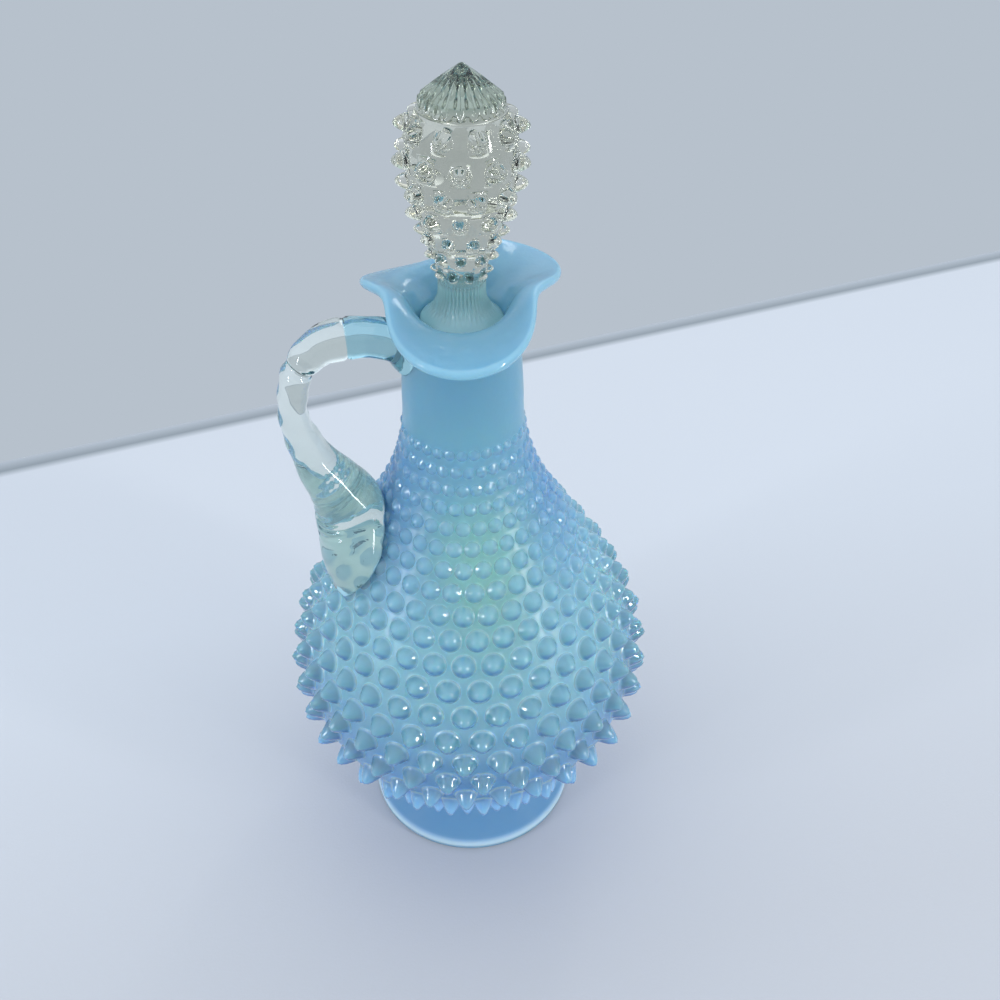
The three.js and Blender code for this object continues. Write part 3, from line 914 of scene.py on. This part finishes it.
def keep_outside(points, gap, look):
    """Moves points that lie inside the bottle's outside, or closer to it than the gap, out to it.

    Also tells which points touch it or nearly do, and how much of a knob's height is under each.
    """
    r = np.hypot(points[:, 0], points[:, 1])
    z = points[:, 2].copy()
    angle = np.arctan2(points[:, 1], points[:, 0])
    height = np.clip(z, FOOT_RIM_HEIGHT, NECK_TOP_HEIGHT)
    for _ in range(WALL_SEARCHES):
        outward, upward = wall_normal(height)
        along = (z - height) * outward - (r - radius_at(height)) * upward
        height = np.clip(height + 0.5 * along * outward, FOOT_RIM_HEIGHT, NECK_TOP_HEIGHT)
    outward, upward = wall_normal(height)
    wall_r = radius_at(height)
    distance = (r - wall_r) * outward + (z - height) * upward
    knobs = knob_rise_at(length_at(height), angle, look)
    need = knobs + gap
    low = (distance < need) & (z < NECK_TOP_HEIGHT)
    near = (distance < need + FUSED_REACH) & (z < NECK_TOP_HEIGHT)
    r = np.where(low, wall_r + need * outward, r)
    z = np.where(low, height + need * upward, z)
    steps = np.linspace(0, 1, LIP_PLACES)
    for i in np.nonzero(z >= NECK_TOP_HEIGHT)[0]:
        lip_r, lip_z = lip_underside(angle[i], steps)
        peak = int(np.argmax(lip_z))
        edge = np.interp(z[i], lip_z[: peak + 1], lip_r[: peak + 1])
        near[i] = r[i] < edge + gap
        r[i] = max(r[i], edge + gap)
    return np.stack([r * np.cos(angle), r * np.sin(angle), z], 1), near, knobs / KNOB_HEIGHT


def handle_rings(look, bottle_look):
    """Rings of the handle, how much knob is under each point, which points are in the root's own gather,
    and which faces are fused to the bottle."""
    stations = through(handle_stations(), HANDLE_STEPS + 1)
    centres = np.stack([-stations[:, 0], np.zeros(len(stations)), stations[:, 1]], 1)
    tangents = np.gradient(centres, axis=0)
    tangents /= np.linalg.norm(tangents, axis=1)[:, None]
    turns = TURN * np.arange(HANDLE_SIDES) / HANDLE_SIDES
    travel = np.concatenate([[0], np.cumsum(np.linalg.norm(np.diff(centres, axis=0), axis=1))])
    gap = look.gap / MM
    rings, knob, fused, root = [], [], [], []
    for far, centre, along, size in zip(travel, centres, tangents, stations):
        outward = np.array([along[2], 0, -along[0]])
        swell = 1 + sum(part * np.exp(-(((far - at) / half) ** 2)) for at, half, part in ROD_MARKS)
        thick, wide, wrap = size[2] / 2 * swell, size[3] / 2 * swell, size[4]
        wave = far * RIPPLE_PACE + RIPPLE_SWING * np.sin(far * RIPPLE_SWING_PACE)
        ripple = look.ripple / MM * np.sin(wave) * (1 - wrap)
        sideways = wide * np.sin(turns)
        inside = way(far, PAD_FOLDS_START, PAD_FOLDS_END)
        depth = look.pad_ripple / MM * np.sin(np.pi * inside) * np.clip(np.cos(turns), 0, 1)
        fold = depth * np.sin(TURN * (far + PAD_FOLD_BEND * sideways**2) / PAD_FOLD_PITCH)
        points = centre + np.outer((thick + ripple) * np.cos(turns) + fold, outward)
        points[:, 1] += sideways
        points[:, 0] += wrap * sideways**2 / (2 * abs(centre[0]))
        ring, near, knobs = keep_outside(points, gap, bottle_look)
        rings.append(ring)
        knob.append(knobs)
        fused.append(near)
        root.append(np.full(HANDLE_SIDES, float(far < ROD_MARKS[0][0])))
    ends = [keep_outside(ring.mean(0)[None], gap, bottle_look)[0] for ring in (rings[0], rings[-1])]
    beside = [near & np.roll(near, -1) for near in fused]
    faces = np.concatenate([*(a & b for a, b in zip(beside, beside[1:])), np.ones(HANDLE_SIDES, bool)])
    values = {"knob": [np.zeros(1), *knob, np.zeros(1)], "root": [np.ones(1), *root, np.zeros(1)]}
    return [ends[0], *rings, ends[1]], values, faces


# Materials


def add_node(tree, kind, inputs=(), stops=(), **settings):
    """Adds a node, sets its properties, and gives its inputs values or links. Gives its outputs.

    Inputs are in the node's order, or a table by name or place: numbers, linear colours or outputs of
    earlier nodes. Stops are a ramp's places and colours.
    """
    node = tree.nodes.new("ShaderNode" + kind)
    for key, value in settings.items():
        setattr(node, key, value)
    for key, value in inputs.items() if isinstance(inputs, dict) else enumerate(inputs):
        socket = node.inputs[key]
        if isinstance(value, bpy.types.NodeSocket):
            tree.links.new(value, socket)
        else:
            socket.default_value = (*value, 1) if socket.type == "RGBA" else value
    elements = node.color_ramp.elements if stops else ()
    while len(elements) < len(stops):
        elements.new(0.5)
    for element, (place, shade) in zip(elements, stops):
        element.position = place
        element.color = (*shade, 1)
    return node.outputs


def new_material(name):
    """An empty material, and what adds nodes to it."""
    material = bpy.data.materials.new(name)
    material.use_nodes = True
    material.node_tree.nodes.clear()
    return material, partial(add_node, material.node_tree)


def uneven_face(add, place, across, high, strength):
    """Faint unevenness of a face, as a normal. Its waves are so many millimetres across and high."""
    wave = add("TexNoise", {"Vector": place, "Scale": 1 / (across * MM), "Detail": 2.0})
    bump = {"Strength": strength, "Distance": high * MM, "Height": wave["Fac"]}
    return add("Bump", bump)["Normal"]


def finish_glass(add, depth_colour, density, inputs):
    """Ends a glass with its surface, and with the colour that it has in its depth."""
    surface = add("BsdfPrincipled", {"IOR": GLASS_IOR, **inputs})
    depth = add("VolumeAbsorption", (srgb(depth_colour), density))
    add("OutputMaterial", {"Surface": surface["BSDF"], "Volume": depth["Volume"]})


# Settings of nodes. A range's inputs are a value, from low, from high, to low and to high.

RGBA = {"data_type": "RGBA"}
SMOOTH = {"interpolation_type": "SMOOTHSTEP"}
TIMES = {"operation": "MULTIPLY"}

# Glass: index of refraction, and roughness where it is polished, as the mould left it, and ground

GLASS_IOR = 1.5
POLISHED = 0.01
GLOSSY = 0.09
BLOWN = 0.3
GROUND = 0.3

# Colours up the wall, and of the knobs, at shares of the bottle's height. On the wall, deep is painted
# shade between the lowest knobs, under the body's bulge.

# Low is partly the glass's own blue, partly painted light that brightens the lower valleys.
# Rim is a painted highlight: a pale line of light along the foot's edge.
WALL_STOPS = (
    (0.006, "foot"), (0.011, "rim"), (0.015, "rim"), (0.024, "foot"), (0.09, "foot"), (0.14, "deep"),
    (0.205, "deep"), (0.235, "low"), (0.3, "low"), (0.44, "valley"), (0.52, "valley"),
    (0.66, "shoulder"), (0.74, "shoulder"), (0.8, "neck"), (0.91, "neck"), (0.97, "lip"),
)
KNOB_STOPS = ((0.2, "low_knob"), (0.36, "knob"), (0.56, "knob"), (0.7, "top_knob"))

# Strength of the painted ring of light at a knob's foot, against how much of its height is reached

LIGHT_RING_STOPS = ((0.0, (0, 0, 0)), (0.03, (1, 1, 1)), (0.07, (1, 1, 1)), (0.15, (0, 0, 0)))
LIGHT_RING_STRENGTH = 0.6


def opalescent_glass(look):
    """Blown blue opalescent glass, fire polished.

    The glass holds milky blue, strongest at the lip, the foot and on the inner face, and is clearer
    outside. The eye gets a soft pale blue body with darker, greener beads on it, each with a painted ring
    of light round its foot, painted shade of deeper blue on its underside and small sharp glints. The wall
    between them is dull. Painted light also gives a greener glow on the front, shade between the lowest
    knobs and a pale highlight along the foot's edge.
    """
    material, add = new_material("opalescent_glass_fire_polished")
    place = add("TexCoord")["Object"]
    z = add("SeparateXYZ", (place,))["Z"]
    up = add("MapRange", (z, 0, LIP_TOP * MM))[0]
    knob, milk, shown, thin, pale, dull = (
        add("Attribute", attribute_name=name)["Fac"]
        for name in ("knob", "milk", "shown", "thin", "pale", "dull")
    )
    shade, bead = (
        add("ValToRGB", (up,), [(at, getattr(look, name + "_colour")) for at, name in stops])[0]
        for stops in (WALL_STOPS, KNOB_STOPS)
    )
    # The lowest knobs are marked by their colour only at their tips.
    lowest = add("MapRange", (z, 50 * MM, 62 * MM, 0.35, 1))[0]
    marked = add("Math", (knob, lowest), **TIMES)[0]
    disc = add("MapRange", (marked, 0.05, 0.25), **SMOOTH)[0]
    disc = add("Math", (disc, shown), **TIMES)[0]
    # Painted shade: deeper blue on the knobs where their faces point down
    normal = add("NewGeometry")["Normal"]
    slant = add("SeparateXYZ", (normal,))["Z"]
    under = add("MapRange", (slant, 0.25, -0.4), **SMOOTH)[0]
    under = add("Math", (under, disc), **TIMES)[0]
    # Painted light: a pale ring on the wall round each knob's foot
    ring = add("ValToRGB", (knob,), LIGHT_RING_STOPS)[0]
    ring_light = add("MapRange", (shown, *KNOBS_SHOWN[::-1], 0, LIGHT_RING_STRENGTH))[0]
    ring_light = add("Math", (ring, ring_light), **TIMES)[0]
    # The first layer is painted light: the greener glow on the front.
    layers = (
        (thin, look.front_glow_colour),
        (disc, bead),
        (under, look.painted_underside_shade_colour),
        (ring_light, look.painted_ring_light_colour),
        (pale, look.lining_colour),
    )
    for part, over in layers:
        shade = add("Mix", {0: part, 6: shade, 7: over}, **RGBA)[2]
    rough = add("MapRange", (dull, 0, 1, GLOSSY, BLOWN))[0]
    polish = add("MapRange", (knob, 0, 0.2, 1, 0.1))[0]
    surface = {
        "Base Color": shade,
        "Transmission Weight": add("MapRange", (milk, 0, 1, 1, 0))[0],
        "Coat Weight": add("MapRange", (knob, 0.05, 0.25))[0],
        "Coat IOR": GLASS_IOR,
        "Roughness": add("Math", (rough, polish), **TIMES)[0],
        "Normal": uneven_face(add, place, across=3.125, high=0.5, strength=0.3),
        "Subsurface Weight": 1.0,
        "Subsurface Radius": (0.6, 0.8, 1.0),
        "Subsurface Scale": 8 * MM,
    }
    finish_glass(add, "88D0FF", 8, surface)
    return material


# Depth of the clear glass's faint green, and the greyer one of the stopper

GREEN_DEPTH = ("BCD8CC", 6)
GREY_DEPTH = ("BCC4B0", 16)


def drawn_glass(look):
    """Clear soda glass drawn into a rod: the room bends through it, with bright rims and streaks."""
    material, add = new_material("clear_glass_drawn")
    place = add("TexCoord")["Object"]
    root = add("Attribute", attribute_name="root")["Fac"]
    tint = add("Mix", {0: root, 6: look.tint, 7: look.root_tint}, **RGBA)
    surface = {
        "Base Color": tint[2],
        "Roughness": POLISHED,
        "Transmission Weight": 1.0,
        "Normal": uneven_face(add, place, across=16.667, high=0.3, strength=0.3),
    }
    finish_glass(add, *GREEN_DEPTH, surface)
    return material


def fused_glass(look):
    """Clear glass where it is fused to the bottle's milky glass.

    No boundary is left, so part of the light goes straight on, and the milk sends the rest back.
    The knobs show as blue spots.
    """
    material, add = new_material("clear_glass_fused")
    knob, root = (add("Attribute", attribute_name=name)["Fac"] for name in ("knob", "root"))
    spots = add("MapRange", (knob, 0.04, 0.2), **SMOOTH)[0]
    plain = add("Mix", {0: root, 6: look.fused_colour, 7: look.root_tint}, **RGBA)
    shade = {0: spots, 6: plain[2], 7: look.fused_knob_colour}
    surface = {
        "Base Color": add("Mix", shade, **RGBA)[2],
        "Roughness": POLISHED,
        "Transmission Weight": 0.25,
        "IOR": 1.0,
    }
    finish_glass(add, *GREEN_DEPTH, surface)
    return material


def pressed_glass(look):
    """Clear soda glass, pressed and fire polished, with its plug ground: bright points, a frosted plug."""
    material, add = new_material("clear_glass_pressed")
    place = add("TexCoord")["Object"]
    frost = add("Attribute", attribute_name="frost")["Fac"]
    z = add("SeparateXYZ", (place,))["Z"]
    cap = add("MapRange", (z, CAP_BOTTOM * MM, CAP_SHOULDER * MM))[0]
    clear = add("Mix", {0: cap, 6: look.tint, 7: look.cap_colour}, **RGBA)
    # Painted light: the frosted plug and stem take the blue of the lip and the bottle round them
    shade = {0: frost, 6: clear[2], 7: look.frost_and_blue_light_colour}
    surface = {
        "Base Color": add("Mix", shade, **RGBA)[2],
        "Roughness": add("MapRange", (frost, 0, 1, POLISHED, GROUND))[0],
        "Transmission Weight": add("MapRange", (frost, 0, 1, 1, 0.3))[0],
        "Normal": uneven_face(add, place, across=22.222, high=0.3, strength=0.12),
    }
    finish_glass(add, *GREY_DEPTH, surface)
    return material


def painted_board(look):
    """Painted board: a plain pale face with a fine tooth, a little darker close to the camera by painted
    shade.

    The tooth is drawn coarser than the paint's own, so that it shows.
    """
    material, add = new_material("painted_board_floor")
    place = add("TexCoord")["Object"]
    y = add("SeparateXYZ", (place,))["Y"]
    far = add("MapRange", (y, *NEAR_FLOOR))[0]
    shade = {0: far, 6: look.near_shade_colour, 7: look.floor_colour}
    surface = {
        "Base Color": add("Mix", shade, **RGBA)[2],
        "Roughness": 0.6,
        "Normal": uneven_face(add, place, across=1.111, high=0.3, strength=0.2),
    }
    board = add("BsdfPrincipled", surface)
    add("OutputMaterial", {"Surface": board["BSDF"]})
    return material


def soft_edge(look):
    """Painted shade of the gap between the floor board and the wall: grey that fades out on both sides."""
    material, add = new_material("shaded_gap_floor_edge")
    place = add("TexCoord")["Object"]
    parts = add("SeparateXYZ", (place,))
    across = (parts["X"], -FLOOR_EDGE_SLOPE, parts["Y"])
    across = add("Math", across, operation="MULTIPLY_ADD")[0]
    part = (across, FLOOR_EDGE_MIDDLE, FLOOR_EDGE_MIDDLE + EDGE_WIDTH)
    part = add("MapRange", part)[0]
    stops = ((0.0, look.floor_colour), (0.4, look.gap_shade_colour), (1.0, look.rest_colour))
    shade = add("ValToRGB", (part,), stops)[0]
    gap = add("BsdfPrincipled", {"Base Color": shade, "Roughness": 0.6})
    add("OutputMaterial", {"Surface": gap["BSDF"]})
    return material


def room_light(look):
    """Light from all sides: a pale ceiling, grey walls, and the room on the camera's side."""
    world = bpy.data.worlds.new("room")
    world.use_nodes = True
    world.node_tree.nodes.clear()
    add = partial(add_node, world.node_tree)
    place = add("TexCoord")["Generated"]
    parts = add("SeparateXYZ", (place,))
    ceiling, room = (
        [look.ceiling_strength * c for c in shade] for shade in (look.ceiling_colour, look.room_colour)
    )
    up = add("MapRange", (parts["Z"], 0, 0.5), **SMOOTH)[0]
    shade = add("Mix", {0: up, 6: look.wall_colour, 7: ceiling}, **RGBA)[2]
    near = add("MapRange", (parts["Y"], -0.35, -0.8), **SMOOTH)[0]
    above = add("MapRange", (parts["Z"], 0.02, 0.25), **SMOOTH)[0]
    both = add("Math", (near, above), **TIMES)[0]
    shade = add("Mix", {0: both, 6: shade, 7: room}, **RGBA)[2]
    background = add("Background", {"Color": shade})
    add("OutputWorld", {"Surface": background["Background"]})
    return world


# Operators


class MakeBottle(bpy.types.Operator):
    """Make the blown bottle: foot, knobbed body, neck and three-lobed lip"""

    bl_idname = "decanter.bottle"
    bl_label = "Make bottle"

    def execute(self, context):
        look = context.scene.decanter_bottle
        piece = loft("bottle_glass", *bottle_rings(look))
        piece.data.materials.append(opalescent_glass(look))
        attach(piece, "decanter")
        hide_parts("bottle")
        return {"FINISHED"}


class MakeHandle(bpy.types.Operator):
    """Make the clear handle, laid onto the neck and pressed onto the knobs"""

    bl_idname = "decanter.handle"
    bl_label = "Make handle"

    def execute(self, context):
        look = context.scene.decanter_handle
        piece = loft("handle_glass", *handle_rings(look, context.scene.decanter_bottle))
        piece.data.materials.append(drawn_glass(look))
        piece.data.materials.append(fused_glass(look))
        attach(piece, "decanter")
        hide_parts("handle")
        return {"FINISHED"}


class MakeStopper(bpy.types.Operator):
    """Make the clear stopper: plug, fluted stem, knobbed head and ribbed cap"""

    bl_idname = "decanter.stopper"
    bl_label = "Make stopper"

    def execute(self, context):
        look = context.scene.decanter_stopper
        piece = loft("stopper_glass", *stopper_rings(look))
        piece.data.materials.append(pressed_glass(look))
        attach(piece, "stopper")
        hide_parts("stopper")
        return {"FINISHED"}


def stage_plane(name, corners, material):
    mesh = bpy.data.meshes.new(name)
    mesh.from_pydata([(x, y, 0) for x, y in corners], [], [(0, 1, 2, 3)])
    mesh.materials.append(material)
    plane = add_object(name, mesh)


def window(name, place, target, size, watts, code, spread):
    data = bpy.data.lights.new(name, "AREA")
    data.shape = "RECTANGLE"
    data.size, data.size_y = size
    data.energy = watts
    data.color = srgb(code)
    data.spread = np.radians(spread)
    light = add_object(name, data)
    light.location = place
    light.rotation_euler = (Vector(target) - Vector(place)).to_track_quat("-Z", "Y").to_euler()


class MakeStage(bpy.types.Operator):
    """Make the floor, the painted shade along its far edge, the lights and the camera"""

    bl_idname = "decanter.stage"
    bl_label = "Make stage"

    def execute(self, context):
        scene = context.scene
        look = scene.decanter_stage
        left, right = ((x, FLOOR_EDGE_MIDDLE + x * FLOOR_EDGE_SLOPE) for x in (-FLOOR_REACH, FLOOR_REACH))
        front = [(-FLOOR_REACH, -FLOOR_REACH), (FLOOR_REACH, -FLOOR_REACH)]
        stage_plane("floor", [left, *front, right], painted_board(look))
        # A strip of painted shade along the floor's far edge
        far = [(x, y + EDGE_WIDTH) for x, y in (right, left)]
        stage_plane("floor_edge", [left, right, *far], soft_edge(look))
        scene.world = room_light(look)
        for name, facts in WINDOWS.items():
            window(name, *facts)
        data = bpy.data.cameras.new("camera")
        data.lens = CAMERA_LENS
        data.sensor_width = CAMERA_SENSOR
        camera = add_object("camera", data)
        camera.location = CAMERA_PLACE
        camera.rotation_euler = Euler((np.radians(90 + CAMERA_PITCH), 0, np.radians(CAMERA_TURN)))
        scene.camera = camera
        scene.view_settings.view_transform = "Standard"
        return {"FINISHED"}


SETTINGS = {
    "decanter_bottle": BottleSettings,
    "decanter_handle": HandleSettings,
    "decanter_stopper": StopperSettings,
    "decanter_stage": StageSettings,
}
STEPS = (MakeBottle, MakeHandle, MakeStopper, MakeStage)


class DecanterPanel(bpy.types.Panel):
    """Steps that make the decanter, each with its sizes and colours"""

    bl_idname = "VIEW3D_PT_decanter"
    bl_label = "Decanter"
    bl_space_type = "VIEW_3D"
    bl_region_type = "UI"
    bl_category = "Decanter"

    def draw(self, context):
        for step, (name, kind) in zip(STEPS, SETTINGS.items()):
            self.layout.operator(step.bl_idname)
            for key in kind.__annotations__:
                self.layout.prop(getattr(context.scene, name), key)


def register():
    for kind in (*SETTINGS.values(), *STEPS, DecanterPanel):
        bpy.utils.register_class(kind)
    for name, kind in SETTINGS.items():
        setattr(bpy.types.Scene, name, PointerProperty(type=kind))


def unregister():
    for name in SETTINGS:
        delattr(bpy.types.Scene, name)
    for kind in reversed((*SETTINGS.values(), *STEPS, DecanterPanel)):
        bpy.utils.unregister_class(kind)


def main():
    register()
    bpy.ops.decanter.bottle()
    bpy.ops.decanter.handle()
    bpy.ops.decanter.stopper()
    bpy.ops.decanter.stage()


if __name__ == "__main__":
    main()
